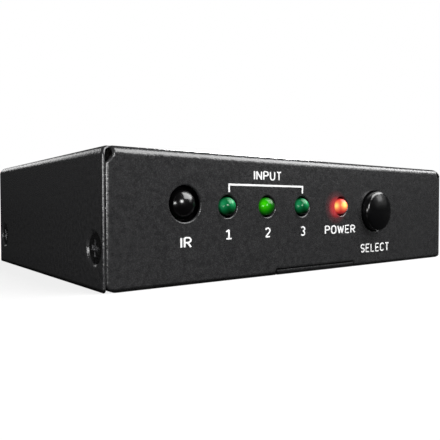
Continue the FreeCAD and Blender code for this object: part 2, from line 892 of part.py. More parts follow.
def inlet_pin():
    length = inlet_mouth_y - inlet_pin_recess - inlet_floor_y
    pin = rod(inlet_x, inlet_floor_y, inlet_z, inlet_pin_radius, length)
    tip = max((edge for edge in pin.Edges if edge.Closed), key=lambda edge: edge.CenterOfMass.y)
    pin = pin.makeFillet(inlet_pin_tip_round, [tip])
    root = rod(
        inlet_x, inlet_floor_y - inlet_pin_root, inlet_z, inlet_pin_root_radius, inlet_pin_root + beyond
    )
    return pin.fuse(root)


def block_on_board(x, y, width, depth, height, lift=0.0):
    return box(x - width / 2, x + width / 2, y - depth / 2, y + depth / 2, board_top + lift,
               board_top + lift + height)


def switch_chip_leads():
    """Leads in four rows: out from the chip's side and down to the board."""
    leads = []
    edge = chip_size / 2
    knee = edge + chip_lead_knee
    half = chip_lead_width / 2
    level = board_top + chip_lift + chip_height / 2
    for side in range(4):
        for i in range(chip_leads_per_side):
            across = (i - (chip_leads_per_side - 1) / 2) * chip_lead_pitch
            arm = box(edge, knee, across - half, across + half, level, level + chip_lead_thickness)
            drop = box(knee - chip_lead_thickness, knee, across - half, across + half,
                       board_top, level + chip_lead_thickness)
            foot = box(knee - chip_lead_thickness, edge + chip_lead_reach, across - half, across + half,
                       board_top, board_top + chip_lead_thickness)
            lead = join([arm, drop, foot])
            lead.rotate(point(0, 0, 0), point(0, 0, 1), 90 * side)
            lead.translate(point(chip_x, chip_y, 0))
            leads.append(lead)
    return leads


def capacitor_cans():
    cans = []
    for i in range(can_count):
        y = can_first_y + can_pitch * i
        base = block_on_board(can_x, y, 2 * can_radius, 2 * can_radius, can_base_height)
        can = rod(can_x, y, board_top + can_base_height, can_radius, can_height - can_base_height, (0, 0, 1))
        cans.append(base.fuse(can.makeFillet(can_edge_round, [top_circle(can)])))
    return cans


def chip_capacitors():
    return [block_on_board(chip_cap_first_x + chip_cap_pitch * i, chip_cap_y,
                           chip_cap_length, chip_cap_width, chip_cap_width) for i in range(chip_cap_count)]


def write(name, solids):
    """Writes one sub-part. A list is a group of separate solids."""
    shape = Part.makeCompound(solids) if isinstance(solids, list) else solids
    found = shape.Solids
    sound = bool(found) and shape.isValid()
    shape.exportStep("parts/" + name + ".step")
    print(name, "solids", len(found), "volume", round(shape.Volume, 2), "sound", sound)


def main():
    os.makedirs("parts", exist_ok=True)
    write("top_cover", top_cover())
    write("bottom_tray", bottom_tray())
    write("side_screws", side_screws())
    write("main_board", main_board())
    write("board_standoffs", board_standoffs())
    write("board_screws", board_screws())
    write("insulating_sheet", insulating_sheet())
    for name, x in zip(led_names, led_places):
        write(name, led_lens(x))
    write("led_leads", led_leads())
    write("led_holders", led_holders())
    write("ir_receiver", ir_receiver())
    write("ir_leads", ir_leads())
    write("select_button", select_button())
    write("switch_plunger", switch_plunger())
    write("switch_housing", switch_housing())
    write("switch_spring", switch_spring())
    write("switch_terminals", switch_terminals())
    for name, x in zip(socket_names, socket_places()):
        write(name + "_shell", socket_shell(x))
        write(name + "_tongue", socket_tongue(x))
        write(name + "_contacts", socket_contacts(x))
    write("power_inlet_housing", inlet_housing())
    write("power_inlet_pin", inlet_pin())
    write("power_inlet_leaf", inlet_leaf())
    write("switch_chip", block_on_board(chip_x, chip_y, chip_size, chip_size, chip_height, chip_lift))
    write("switch_chip_leads", switch_chip_leads())
    write("control_chip", block_on_board(
        control_chip_x, control_chip_y, control_chip_width, control_chip_depth, control_chip_height))
    write("crystal", block_on_board(crystal_x, crystal_y, crystal_length, crystal_width, crystal_height))
    write("voltage_regulator", block_on_board(
        regulator_x, regulator_y, regulator_width, regulator_depth, regulator_height))
    write("power_inductor", block_on_board(
        regulator_x, inductor_y, inductor_size, inductor_size, inductor_height))
    write("capacitor_cans", capacitor_cans())
    write("chip_capacitors", chip_capacitors())


main()
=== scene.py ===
import json
import math

import bmesh
import bpy
from mathutils import Matrix, Vector


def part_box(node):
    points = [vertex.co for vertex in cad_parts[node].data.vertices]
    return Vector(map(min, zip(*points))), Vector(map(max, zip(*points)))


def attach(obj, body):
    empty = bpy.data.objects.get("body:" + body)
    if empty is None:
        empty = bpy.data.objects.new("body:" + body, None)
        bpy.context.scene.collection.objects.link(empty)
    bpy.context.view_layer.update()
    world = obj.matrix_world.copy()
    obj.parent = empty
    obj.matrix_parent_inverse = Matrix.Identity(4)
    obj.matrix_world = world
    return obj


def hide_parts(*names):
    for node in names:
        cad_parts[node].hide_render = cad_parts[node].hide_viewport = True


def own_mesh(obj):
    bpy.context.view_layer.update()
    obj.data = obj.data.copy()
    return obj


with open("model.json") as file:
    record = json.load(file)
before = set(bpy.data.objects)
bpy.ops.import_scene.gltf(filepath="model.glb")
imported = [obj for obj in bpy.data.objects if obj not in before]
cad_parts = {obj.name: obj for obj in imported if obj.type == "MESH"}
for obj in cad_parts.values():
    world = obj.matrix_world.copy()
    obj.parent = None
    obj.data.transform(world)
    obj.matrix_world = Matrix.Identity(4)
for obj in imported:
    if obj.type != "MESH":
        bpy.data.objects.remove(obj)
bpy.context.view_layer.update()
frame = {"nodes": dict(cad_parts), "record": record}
slotOf = {part["node"]: part["material_slot"] for part in frame["record"]["subparts"]}
mm = 0.001
print("frame loaded:", len(slotOf), "nodes")


# Shapes. They are drawn in millimetres and made metres when a piece is finished.

touching = 0.01  # places this close are in one plane
seam = 1e-4  # points this close become one
creaseMerge = 1e-5  # points this close to a crease lie on it
flatAngle = 1  # degrees: flatter edges are dissolved
sharpAngle = 40  # degrees: sharper edges can be rounded
cornerSteps = 5


def nodeBox(name):
    low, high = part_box(name)
    return low / mm, high / mm


def nodeMiddle(name):
    low, high = nodeBox(name)
    return (low + high) / 2


def shifted(bm, offset):
    bmesh.ops.translate(bm, vec=offset, verts=bm.verts)
    return bm


def swung(bm, turn):
    # turn is a matrix that turns about the origin
    bmesh.ops.rotate(bm, cent=(0, 0, 0), matrix=turn, verts=bm.verts)
    return bm


def turnBetween(old, new):
    return Vector(old).rotation_difference(Vector(new)).to_matrix()


def block(low, high):
    bm = bmesh.new()
    bmesh.ops.create_cube(bm, size=1)
    low, high = Vector(low), Vector(high)
    bmesh.ops.scale(bm, vec=high - low, verts=bm.verts)
    return shifted(bm, (low + high) / 2)


def drawn(outline, start, end, upward=False, corner=0.0):
    # outline is in X and Z and is drawn out along Y, or in X and Y and drawn up along Z
    bm = bmesh.new()
    bm.faces.new([bm.verts.new((a, b, start) if upward else (a, start, b)) for a, b in outline])
    if corner:
        bmesh.ops.bevel(bm, geom=bm.verts[:], offset=corner, segments=cornerSteps, profile=0.5,
                        affect="VERTICES", material=-1)
    pulled = bmesh.ops.extrude_face_region(bm, geom=bm.faces[:])["geom"]
    ends = [item for item in pulled if isinstance(item, bmesh.types.BMVert)]
    bmesh.ops.translate(bm, vec=(0, 0, end - start) if upward else (0, end - start, 0), verts=ends)
    bmesh.ops.recalc_face_normals(bm, faces=bm.faces)
    return bm


def rod(start, radius, length, endRadius=None, direction=(0, 0, 1), steps=64):
    bm = bmesh.new()
    endRadius = radius if endRadius is None else endRadius
    bmesh.ops.create_cone(bm, cap_ends=True, segments=steps, radius1=radius, radius2=endRadius,
                          depth=length, matrix=Matrix.Translation((0, 0, length / 2)))
    return shifted(swung(bm, turnBetween((0, 0, 1), direction)), start)


def arc(x, y, radius, start, end, steps):
    # points on an arc, from one angle to the other, in degrees
    angles = [math.radians(start + (end - start) * i / steps) for i in range(steps + 1)]
    return [(x + radius * math.cos(a), y + radius * math.sin(a)) for a in angles]


def turned(profile, steps=64, middle=Vector()):
    # profile has radius and Y, and is spun about a line along Y through the middle
    bm = bmesh.new()
    line = [bm.verts.new((radius, y, 0)) for radius, y in profile]
    edges = [bm.edges.new(pair) for pair in zip(line, line[1:])]
    bmesh.ops.spin(bm, geom=line + edges, cent=(0, 0, 0), axis=(0, 1, 0), angle=2 * math.pi,
                   steps=steps, use_merge=True)
    bmesh.ops.remove_doubles(bm, verts=bm.verts, dist=seam)
    bmesh.ops.recalc_face_normals(bm, faces=bm.faces)
    return shifted(bm, (middle.x, 0, middle.z))


def meshOf(bm, name):
    # uses up the shape
    mesh = bpy.data.meshes.new(name)
    bm.to_mesh(mesh)
    bm.free()
    return mesh


def linked(name, data):
    item = bpy.data.objects.new(name, data)
    bpy.context.scene.collection.objects.link(item)
    return item


def gathered(shapes):
    whole = bmesh.new()
    for shape in shapes:
        mesh = meshOf(shape, "part")
        whole.from_mesh(mesh)
        bpy.data.meshes.remove(mesh)
    return whole


def carved(bm, tools, operation="DIFFERENCE"):
    body, *cutters = [linked("loose", meshOf(shape, "loose")) for shape in [bm, *tools]]
    for cutter in cutters:
        step = body.modifiers.new("step", "BOOLEAN")
        step.object = cutter
        step.operation = operation
        step.solver = "EXACT"
    bpy.context.view_layer.update()
    result = bmesh.new()
    result.from_object(body, bpy.context.evaluated_depsgraph_get())
    for loose in [body, *cutters]:
        bpy.data.meshes.remove(loose.data)  # and its object
    bmesh.ops.remove_doubles(result, verts=result.verts, dist=seam)
    bmesh.ops.dissolve_limit(result, angle_limit=math.radians(flatAngle), verts=result.verts,
                             edges=result.edges)
    return result


def inPlane(axis, level):
    # picks the edges that lie at one level of an axis
    return lambda edge: all(abs(getattr(vert.co, axis) - level) < touching for vert in edge.verts)


def rounded(bm, radius, steps, chosen=None):
    # rounds the sharp edges, or those of them that chosen picks
    limit = math.radians(sharpAngle)
    edges = [e for e in bm.edges if len(e.link_faces) == 2 and e.calc_face_angle() > limit]
    if chosen:
        edges = [e for e in edges if chosen(e)]
    bmesh.ops.bevel(bm, geom=edges, offset=radius, segments=steps, profile=0.5, affect="EDGES",
                    material=-1, clamp_overlap=False)
    return bm


def makePiece(name, bm, stands=None, body="case", smoothUnder=35):
    # the piece takes the slot of the node that it stands for, or it is ink
    finish = slotOf[stands] if stands else "ink"
    bmesh.ops.recalc_face_normals(bm, faces=bm.faces)
    bmesh.ops.scale(bm, vec=(mm, mm, mm), verts=bm.verts)
    mesh = meshOf(bm, name)
    mesh.materials.append(finishes[finish])
    mesh.shade_smooth()
    mesh.set_sharp_from_angle(angle=math.radians(smoothUnder))
    piece = linked(name, mesh)
    even = piece.modifiers.new("evenShading", "WEIGHTED_NORMAL")
    even.keep_sharp = True
    even.weight = 100
    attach(piece, body)
    if stands:
        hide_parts(stands)
    return piece


# Finishes

noiseRange = (0.3, 0.7)  # where most of a noise's values lie
tintRange = (0.35, 0.65)


def plainShader(name, colour, inputs):
    material = bpy.data.materials.new(name)
    material.use_nodes = True
    shader = material.node_tree.nodes["Principled BSDF"]
    shader.inputs["Base Color"].default_value = (*colour, 1)
    for key, value in inputs.items():
        shader.inputs[key].default_value = value
    return material, material.node_tree, shader


def ownPlace(tree):
    return tree.nodes.new("ShaderNodeTexCoord").outputs["Object"]


def noiseOn(tree, scale, detail=3.0, stretch=(1, 1, 1)):
    # scale is in features per metre, on the piece's own coordinates
    mapping = tree.nodes.new("ShaderNodeMapping")
    mapping.inputs["Scale"].default_value = stretch
    noise = tree.nodes.new("ShaderNodeTexNoise")
    noise.inputs["Scale"].default_value = scale
    noise.inputs["Detail"].default_value = detail
    tree.links.new(ownPlace(tree), mapping.inputs["Vector"])
    tree.links.new(mapping.outputs["Vector"], noise.inputs["Vector"])
    return noise.outputs["Fac"]


def operation(tree, kind, name, values):
    # a node that works on sockets or plain values
    node = tree.nodes.new(kind)
    node.operation = name
    for entry, value in zip(node.inputs, values):
        if isinstance(value, bpy.types.NodeSocket):
            tree.links.new(value, entry)
        else:
            entry.default_value = value
    return node


def computed(tree, name, *values):
    return operation(tree, "ShaderNodeMath", name, values).outputs["Value"]


def vectored(tree, name, *values, result="Vector"):
    return operation(tree, "ShaderNodeVectorMath", name, values).outputs[result]


def heightOf(tree, vector):
    parts = tree.nodes.new("ShaderNodeSeparateXYZ")
    tree.links.new(vector, parts.inputs["Vector"])
    return parts.outputs["Z"]


def mapped(tree, source, fromRange, toRange):
    node = tree.nodes.new("ShaderNodeMapRange")
    node.inputs["From Min"].default_value, node.inputs["From Max"].default_value = fromRange
    node.inputs["To Min"].default_value, node.inputs["To Max"].default_value = toRange
    tree.links.new(source, node.inputs["Value"])
    return node.outputs["Result"]


def rampOf(tree, source, stops):
    ramp = tree.nodes.new("ShaderNodeValToRGB")
    elements = ramp.color_ramp.elements
    while len(elements) < len(stops):
        elements.new(0.5)
    for element, (position, colour) in zip(elements, stops):
        element.position = position
        element.color = (*colour, 1)
    tree.links.new(source, ramp.inputs["Fac"])
    return ramp.outputs["Color"]


def tinted(tree, shader, noise, colours):
    tree.links.new(rampOf(tree, noise, list(zip(tintRange, colours))), shader.inputs["Base Color"])


def roughened(tree, shader, noise, roughness):
    tree.links.new(mapped(tree, noise, noiseRange, roughness), shader.inputs["Roughness"])


def bumped(tree, shader, noise, depth):
    # depth is in millimetres, and goes on top of an earlier bump
    bump = tree.nodes.new("ShaderNodeBump")
    bump.inputs["Distance"].default_value = depth * mm
    tree.links.new(noise, bump.inputs["Height"])
    if shader.inputs["Normal"].is_linked:
        tree.links.new(shader.inputs["Normal"].links[0].from_socket, bump.inputs["Normal"])
    tree.links.new(bump.outputs["Normal"], shader.inputs["Normal"])


def distanceFrom(tree, place, reach, pitch=0.0):
    # 0 at a place on the piece, in metres, and 1 from reach on; a pitch repeats the place along X
    offset = vectored(tree, "SUBTRACT", ownPlace(tree), place)
    if pitch:
        # the piece is less than 1 m long, so nothing repeats along Y and Z
        offset = vectored(tree, "WRAP", offset, (pitch / 2, 1, 1), (-pitch / 2, -1, -1))
    length = vectored(tree, "LENGTH", offset, result="Value")
    return computed(tree, "MINIMUM", computed(tree, "DIVIDE", length, reach), 1.0)


powder = {
    "colours": ((0.0175, 0.0175, 0.0182), (0.0275, 0.0275, 0.0282)), "roughness": (0.2, 0.32),
    # the emission carries the painted red glow of the power lamp on the coat
    "inputs": {"Coat Weight": 0.3, "Coat Roughness": 0.17, "Emission Strength": 1.0},
    "grain": 5200, "grainDetail": 4, "grainDepth": 0.02, "peel": 1300, "peelDetail": 2, "peelDepth": 0.06,
    # the heights between which a painted shade along the lower edges ends, and its share of the colour
    "paintedShadeEnd": (0.5, 0.85), "paintedShadeShare": 0.2,
    # the power lamp's light on the panel, painted as a red glow of the coat: its middle from the lamp's axis,
    # its reach, its colours outwards
    "paintedGlowMiddle": (-1.8, 0, -0.2), "paintedGlowReach": 3.9,
    "paintedGlowStops": [(0.0, (0.66, 0.025, 0.028)), (0.4, (0.42, 0.014, 0.02)), (0.66, (0.06, 0.003, 0.006)),
                  (1.0, (0.0, 0.0, 0.0))],
}


def paintShadeOnLowerEdges(tree, shader):
    # the object stands at height 0
    # painted shade: the coat is darkened along the lower edges, where the object stands on the floor
    heights = [height * mm for height in powder["paintedShadeEnd"]]
    shade = mapped(tree, heightOf(tree, ownPlace(tree)), heights, (powder["paintedShadeShare"], 1))
    colour = shader.inputs["Base Color"].links[0].from_socket
    tree.links.new(vectored(tree, "MULTIPLY", colour, shade), shader.inputs["Base Color"])


def paintLampGlow(tree, shader):
    # painted light: the coat itself glows red around the power lamp, in place of the lamp's light falling on
    # it
    lampAxis, panel = nodeMiddle("led_power"), nodeBox("top_cover")[0]
    middle = Vector((lampAxis.x, panel.y, lampAxis.z)) + Vector(powder["paintedGlowMiddle"])
    gap = distanceFrom(tree, middle * mm, powder["paintedGlowReach"] * mm)
    tree.links.new(rampOf(tree, gap, powder["paintedGlowStops"]), shader.inputs["Emission Color"])


def powderCoat():
    material, tree, shader = plainShader("powderCoat", powder["colours"][1], powder["inputs"])
    grain = noiseOn(tree, powder["grain"], powder["grainDetail"])
    peel = noiseOn(tree, powder["peel"], powder["peelDetail"])
    tinted(tree, shader, peel, powder["colours"])
    paintShadeOnLowerEdges(tree, shader)
    roughened(tree, shader, grain, powder["roughness"])
    bumped(tree, shader, peel, powder["peelDepth"])
    bumped(tree, shader, grain, powder["grainDepth"])
    tree.links.new(shader.inputs["Normal"].links[0].from_socket, shader.inputs["Coat Normal"])
    paintLampGlow(tree, shader)
    return material


# What one noise does to a finish: it shades the colour by two shares, moves the roughness both ways and
# bumps the surface, in millimetres
plastic = {"grain": 3000, "detail": 3, "shade": (0.85, 1.1), "rougher": (-0.06, 0.06), "bump": 0.004}
metal = {"grain": 2500, "detail": 4, "shade": (0.86, 1), "rougher": (-0.07, 0.1), "bump": 0.002,
         "inputs": {"Metallic": 1}}
drawnMetal = {**metal, "grain": 4000, "stretch": (1, 0.08, 1)}
gloss = {"grain": 900, "detail": 5, "shade": (0.8, 1), "rougher": (0, 0.06), "bump": 0.002,
         "inputs": {"Coat Weight": 0.3, "Coat Roughness": 0.1}}
inkPrint = {"grain": 6000, "detail": 4, "shade": (0.8, 0.92), "rougher": (0, 0), "bump": 0.004}


def grained(name, colour, roughness, look):
    material, tree, shader = plainShader(name, colour, look.get("inputs", {}))
    noise = noiseOn(tree, look["grain"], look["detail"], look.get("stretch", (1, 1, 1)))
    tinted(tree, shader, noise, [[share * channel for channel in colour] for share in look["shade"]])
    roughened(tree, shader, noise, [roughness + change for change in look["rougher"]])
    bumped(tree, shader, noise, look["bump"])
    return material


mask = {
    "colours": {"Color1": (0.018, 0.15, 0.065), "Color2": (0.022, 0.17, 0.075),
                "Mortar": (0.035, 0.24, 0.11)},
    "inputs": {"Roughness": 0.35}, "bricks": 400, "grain": 3000, "bump": 0.003,
}


def solderMask():
    # bricks stand for the tracks that show through the mask
    material, tree, shader = plainShader("solderMask", mask["colours"]["Color1"], mask["inputs"])
    tracks = tree.nodes.new("ShaderNodeTexBrick")
    tracks.inputs["Scale"].default_value = mask["bricks"]
    for key, colour in mask["colours"].items():
        tracks.inputs[key].default_value = (*colour, 1)
    tree.links.new(ownPlace(tree), tracks.inputs["Vector"])
    tree.links.new(tracks.outputs["Color"], shader.inputs["Base Color"])
    bumped(tree, shader, noiseOn(tree, mask["grain"]), mask["bump"])
    return material


epoxy = {
    "inputs": {"Coat Weight": 0.1, "Coat Roughness": 0.03, "Specular IOR Level": 0.18},
    "grain": 1500, "detail": 2, "roughness": (0.1, 0.18),
}
# A lens's painted light places, in mm from its middle, lie where the photograph's side sees them: on an unlit
# lens they paint its highlight and a reflection, on a lit lamp the brightest part of its glow. Its colour
# runs through the stops from there to the reach, darker away from them, which on an unlit lens is painted
# shade.
greenLens = {
    "node": "led_input_1", "paintedLightPlaces": [(-1.69, -1.53, 0.3), (0.35, -2.5, 0.9)], "reach": 2.6,
    "stops": [(0.0, (0.022, 0.33, 0.12)), (0.3, (0.006, 0.17, 0.055)), (0.55, (0.002, 0.075, 0.02)),
              (0.8, (0.0006, 0.016, 0.004)), (1.0, (0.0004, 0.005, 0.001))],
    "pitch": nodeMiddle("led_input_2").x - nodeMiddle("led_input_1").x,
}
litGreenLens = {
    "node": "led_input_2", "paintedLightPlaces": [(-1.5, -1.95, 0.35)], "reach": 2.9, "glow": 0.4,
    "stops": [(0.0, (0.036, 0.5, 0.002)), (0.35, (0.01, 0.24, 0.001)), (0.6, (0.004, 0.09, 0.002)),
              (0.85, (0.002, 0.03, 0.002)), (1.0, (0.0, 0.008, 0.0))],
}
litRedLens = {
    "node": "led_power", "paintedLightPlaces": [(-1.77, -1.3, 0.1), (-0.3, -2.73, 0.3)], "reach": 2.0, "glow": 0.8,
    "stops": [(0.0, (0.85, 0.62, 0.17)), (0.22, (0.75, 0.42, 0.1)), (0.45, (0.6, 0.14, 0.055)),
              (0.75, (0.42, 0.03, 0.026)), (1.0, (0.2, 0.012, 0.012))],
}


def lampEpoxy(name, node, paintedLightPlaces, reach, stops, glow=0.0, pitch=0.0):
    # a pitch repeats the colours for lamps that stand in a row
    material, tree, shader = plainShader(name, stops[0][1], epoxy["inputs"])
    nearest = 1.0
    # painted light: the colour is brightest at these places and darker away from them
    for lightPlace in paintedLightPlaces:
        place = (nodeMiddle(node) + Vector(lightPlace)) * mm
        nearest = computed(tree, "MINIMUM", distanceFrom(tree, place, reach * mm, pitch * mm), nearest)
    colour = rampOf(tree, nearest, stops)
    tree.links.new(colour, shader.inputs["Base Color"])
    roughened(tree, shader, noiseOn(tree, epoxy["grain"], epoxy["detail"]), epoxy["roughness"])
    if glow:
        tree.links.new(colour, shader.inputs["Emission Color"])
        shader.inputs["Emission Strength"].default_value = glow
    return material


grainedFinishes = {
    "screw_black": ("blackScrew", (0.16, 0.16, 0.165), 0.28, metal),
    "standoff_brass": ("turnedBrass", (0.72, 0.57, 0.28), 0.28, metal),
    "screw_bright": ("zincScrew", (0.62, 0.62, 0.62), 0.3, metal),
    "insulator": ("polyesterFilm", (0.78, 0.78, 0.74), 0.3, plastic),
    "tinned_metal": ("tinnedLead", (0.7, 0.7, 0.68), 0.32, metal),
    "plastic_black": ("mouldedBlack", (0.02, 0.02, 0.021), 0.5, plastic),
    "receiver_black": ("receiverEpoxy", (0.002, 0.0018, 0.002), 0.18, gloss),
    "button_gloss": ("buttonPlastic", (0.0025, 0.0025, 0.0028), 0.18, gloss),
    "plunger_white": ("plungerPlastic", (0.78, 0.78, 0.75), 0.4, plastic),
    "spring_steel": ("springWire", (0.55, 0.55, 0.55), 0.3, metal),
    "socket_steel": ("nickelShell", (0.62, 0.62, 0.61), 0.26, drawnMetal),
    "contact_gold": ("goldContact", (0.9, 0.66, 0.26), 0.22, metal),
    "chip_black": ("chipEpoxy", (0.03, 0.03, 0.032), 0.55, plastic),
    "can_metal": ("drawnCan", (0.75, 0.75, 0.76), 0.3, metal),
    "ferrite": ("ferriteCore", (0.1, 0.1, 0.105), 0.7, plastic),
    "ceramic_tan": ("firedCeramic", (0.5, 0.38, 0.24), 0.45, plastic),
    "ink": ("whiteInk", (1, 1, 1), 0.55, inkPrint),
}
finishes = {slot: grained(*row) for slot, row in grainedFinishes.items()}
finishes["cover_black"] = finishes["tray_black"] = powderCoat()
finishes["board_green"] = solderMask()
finishes["lens_green"] = lampEpoxy("greenEpoxy", **greenLens)
finishes["lens_green_lit"] = lampEpoxy("litGreenEpoxy", **litGreenLens)
finishes["lens_red_lit"] = lampEpoxy("litRedEpoxy", **litRedLens)
print("finishes made:", len(finishes))


# Every node of the frame gets its finish, also where a new piece will stand for it
for name, slotName in slotOf.items():
    node = frame["nodes"][name]
    if not node.material_slots:
        node.data.materials.append(finishes[slotName])
    for slot in node.material_slots:
        slot.link = "OBJECT"
        slot.material = finishes[slotName]


# Cover: one sheet, cut flat with its holes, notch and corner reliefs, then folded down on three sides

cover = {
    "sheet": 0.5, "bend": 1.6, "bendSteps": 12, "sideSetback": 0.33, "foldGap": 0.06,
    "reliefReach": 1.75, "reliefDrop": 1.7, "bendCut": 0.9, "lowerCorner": 1.6, "sideCorner": 0.7,
    "notchWidth": 24.9, "notchHeight": 1.25, "notchRound": 0.4,
    "holes": {"led_input_1": 2.15, "led_input_2": 2.15, "led_input_3": 2.15, "led_power": 2.15,
              "ir_receiver": 3.3, "select_button": 4.9},
    "screwInset": 4.15, "screwHeight": 7.1, "screwMouth": 3.1, "shearWidth": 0.55, "shearDepth": 0.33,
    "rimRound": 0.28, "innerRound": 0.1,
    "notchSteps": 6, "cornerSteps": 12, "sideSteps": 4, "holeSteps": 96, "roundSteps": 4, "innerSteps": 2,
}


def bendLength(sheet):
    # flat length of a bend, at the middle of the sheet's thickness
    return (sheet["bend"] - sheet["sheet"] / 2) * math.pi / 2


def foldedPast(sheet, distance, depth):
    # how far out and along the wall, from the bend's centre, a place beyond a fold line ends. Depth is
    # below the outer face.
    turn = min(distance / bendLength(sheet), 1) * math.pi / 2
    radius = sheet["bend"] - depth
    return radius * math.sin(turn), max(distance - bendLength(sheet), 0) - radius * math.cos(turn)


coverLow, coverHigh = nodeBox("top_cover")
frontY, rearY = coverLow.y, coverHigh.y
sideX, topZ = coverHigh.x, coverHigh.z
foldX, foldY, foldZ = sideX - cover["bend"], frontY + cover["bend"], topZ - cover["bend"]
foldLength = bendLength(cover)
sideFrontY = frontY + cover["sideSetback"]
screwRows = (frontY + cover["screwInset"], rearY - cover["screwInset"])
screwPlaces = [(side, y) for side in (-1, 1) for y in screwRows]


def flatFront(z):
    # where a height on the front panel lies on the flat sheet, in Y
    return foldY - foldLength - (foldZ - z)


def flatSide(z):
    # where a height on a side wall lies on the flat sheet, in X
    return foldX + foldLength + (foldZ - z)


def coverOutline():
    panelEnd = sideX - cover["sheet"] - cover["foldGap"]
    kneeX, kneeZ = sideX - cover["reliefReach"], topZ - cover["reliefDrop"]
    notchHalf, notchTop, notchTurn = cover["notchWidth"] / 2, cover["notchHeight"], cover["notchRound"]
    corner, sideCorner = cover["lowerCorner"], cover["sideCorner"]
    notchY = flatFront(notchTop - notchTurn)
    half = arc(notchHalf - notchTurn, notchY, notchTurn, 90, 0, cover["notchSteps"])
    half += [(notchHalf, flatFront(0))]
    half += arc(panelEnd - corner, flatFront(corner), corner, -90, 0, cover["cornerSteps"])
    half += [(panelEnd, flatFront(kneeZ - (panelEnd - kneeX))), (kneeX, flatFront(kneeZ)), (kneeX, foldY),
             (foldX, foldY), (foldX, sideFrontY + cover["bendCut"]), (foldX + foldLength, sideFrontY)]
    half += arc(flatSide(sideCorner), sideFrontY + sideCorner, sideCorner, -90, 0, cover["sideSteps"])
    half += [(flatSide(0), rearY)]
    return half + [(-x, y) for x, y in reversed(half)]


def coverCutters():
    thick, mouth = cover["sheet"], cover["screwMouth"]
    start, length = -2 * thick, 4 * thick
    cutters = []
    for name, radius in cover["holes"].items():
        middle = nodeMiddle(name)
        place = (middle.x, flatFront(middle.z), start)
        cutters.append(rod(place, radius, length, steps=cover["holeSteps"]))
    for side, y in screwPlaces:
        place = (side * flatSide(cover["screwHeight"]), y, start)
        cutters.append(rod(place, mouth + start, length, mouth - start))
    return cutters


def foldCover(bm):
    # the front panel lies before the sides' edge, and its bend lies between the corner slots
    slotX = (foldX + sideX - cover["reliefReach"]) / 2
    for vert in bm.verts:
        x, y, z = vert.co
        if y < sideFrontY - touching or y < foldY and abs(x) < slotX:
            out, along = foldedPast(cover, foldY - y, -z)
            vert.co = (x, foldY - out, foldZ - along)
        elif abs(x) > foldX:
            out, along = foldedPast(cover, abs(x) - foldX, -z)
            vert.co = (math.copysign(foldX + out, x), y, foldZ - along)
        else:
            vert.co.z = topZ + z


def creased(bm, sheet, folds):
    # rows of edges where the sheet will bend, from each fold line outwards
    for fold in map(Vector, folds):
        outward = fold.normalized()
        for step in range(sheet["bendSteps"] + 1):
            row = fold + outward * bendLength(sheet) * step / sheet["bendSteps"]
            bmesh.ops.bisect_plane(bm, geom=bm.verts[:] + bm.edges[:] + bm.faces[:], plane_co=row,
                                   plane_no=outward, dist=creaseMerge)


def makeCover():
    # the sheared edge is rounded wider than it is deep, on a thicker plate that is then flattened
    thick, width, steps = cover["sheet"], cover["shearWidth"], cover["roundSteps"]
    flatten = cover["shearDepth"] / width
    bm = drawn(coverOutline(), -thick / flatten, 0, upward=True)
    rounded(bm, width, steps, inPlane("z", 0))
    bmesh.ops.scale(bm, vec=(1, 1, flatten), verts=bm.verts)
    rounded(bm, cover["innerRound"], cover["innerSteps"], inPlane("z", -thick))
    bm = carved(bm, coverCutters())
    rounded(bm, cover["rimRound"], steps, inPlane("z", 0))
    creased(bm, cover, [(0, foldY, 0), (foldX, 0, 0), (-foldX, 0, 0)])
    foldCover(bm)
    makePiece("coverShell", bm, "top_cover")


makeCover()
print("cover made")


# Tray: one sheet, cut flat, with its sides and the rear panel folded up

tray = {
    "sheet": 1.0, "bend": 1.5, "bendSteps": 8, "tabHalf": 12.05, "tabReach": 0.6, "flange": 11.0,
    "flangeGap": 1.5, "reliefGap": 0.2, "panelCorner": 1.2, "edgeRound": 0.2, "innerRound": 0.1,
    "collar": 2.5, "collarLength": 1.2, "thread": 1.5, "socketGap": 0.25, "inletHole": 4.25,
    "cornerSteps": 6, "edgeSteps": 3, "innerSteps": 2,
}
socketNames = {"input_socket_1": "inputSocket1", "input_socket_2": "inputSocket2",
               "input_socket_3": "inputSocket3", "output_socket": "outputSocket"}
trayLow, trayHigh = nodeBox("bottom_tray")
trayFrontY = trayLow.y + tray["tabReach"]
trayFoldX, trayFoldY = trayHigh.x - tray["bend"], trayHigh.y - tray["bend"]
flangeEndY = trayHigh.y - tray["flangeGap"]

socket = {
    "foot": 11.2, "height": 5.7, "shoulder": 2.4, "wall": 0.4, "corner": 0.7, "lip": 0.12,
    "tongueWidth": 10.6, "tongueThickness": 1.7, "tongueRoot": 0.5, "tongueRound": 0.25, "tongueSteps": 3,
    "baseLength": 2.6, "baseGap": 0.05,
    "windowWidth": 1.8, "windowLength": 4.2, "windowInset": 4.2, "windowCut": 0.05, "spread": 3.6,
    # past its root the finger's line is in shares of the window's length and of the dip
    "finger": 1.25, "fingerSheet": 0.3, "fingerDip": 0.4, "fingerRoot": 0.3,
    "fingerLine": [(0.15, 0), (0.62, -1), (0.78, -1), (0.95, -1 / 3)],
    "legX": 5.2, "legInsets": (2.5, 6.7), "legWidth": 1.6, "legSheet": 0.4, "roundSteps": 2,
}


def flatWall(start, height):
    # where a height on a wall folded up from the tray lies on the flat sheet
    return start + bendLength(tray) + height - tray["bend"]


def socketFace(name, inset):
    # the socket's D-shaped face, inset from its outer size
    low, high = nodeBox(name + "_shell")
    middle, base = (low.x + high.x) / 2, high.z - socket["height"]
    half, foot, shoulder = (high.x - low.x) / 2, socket["foot"] / 2, socket["shoulder"]
    run = half - foot
    slant = math.hypot(run, shoulder)
    foot -= inset * (slant - run) / shoulder
    side = [(foot, base + inset), (half - inset, base + shoulder + inset * (slant - shoulder) / run),
            (half - inset, high.z - inset)]
    return [(middle + x, z) for x, z in side] + [(middle - x, z) for x, z in reversed(side)]


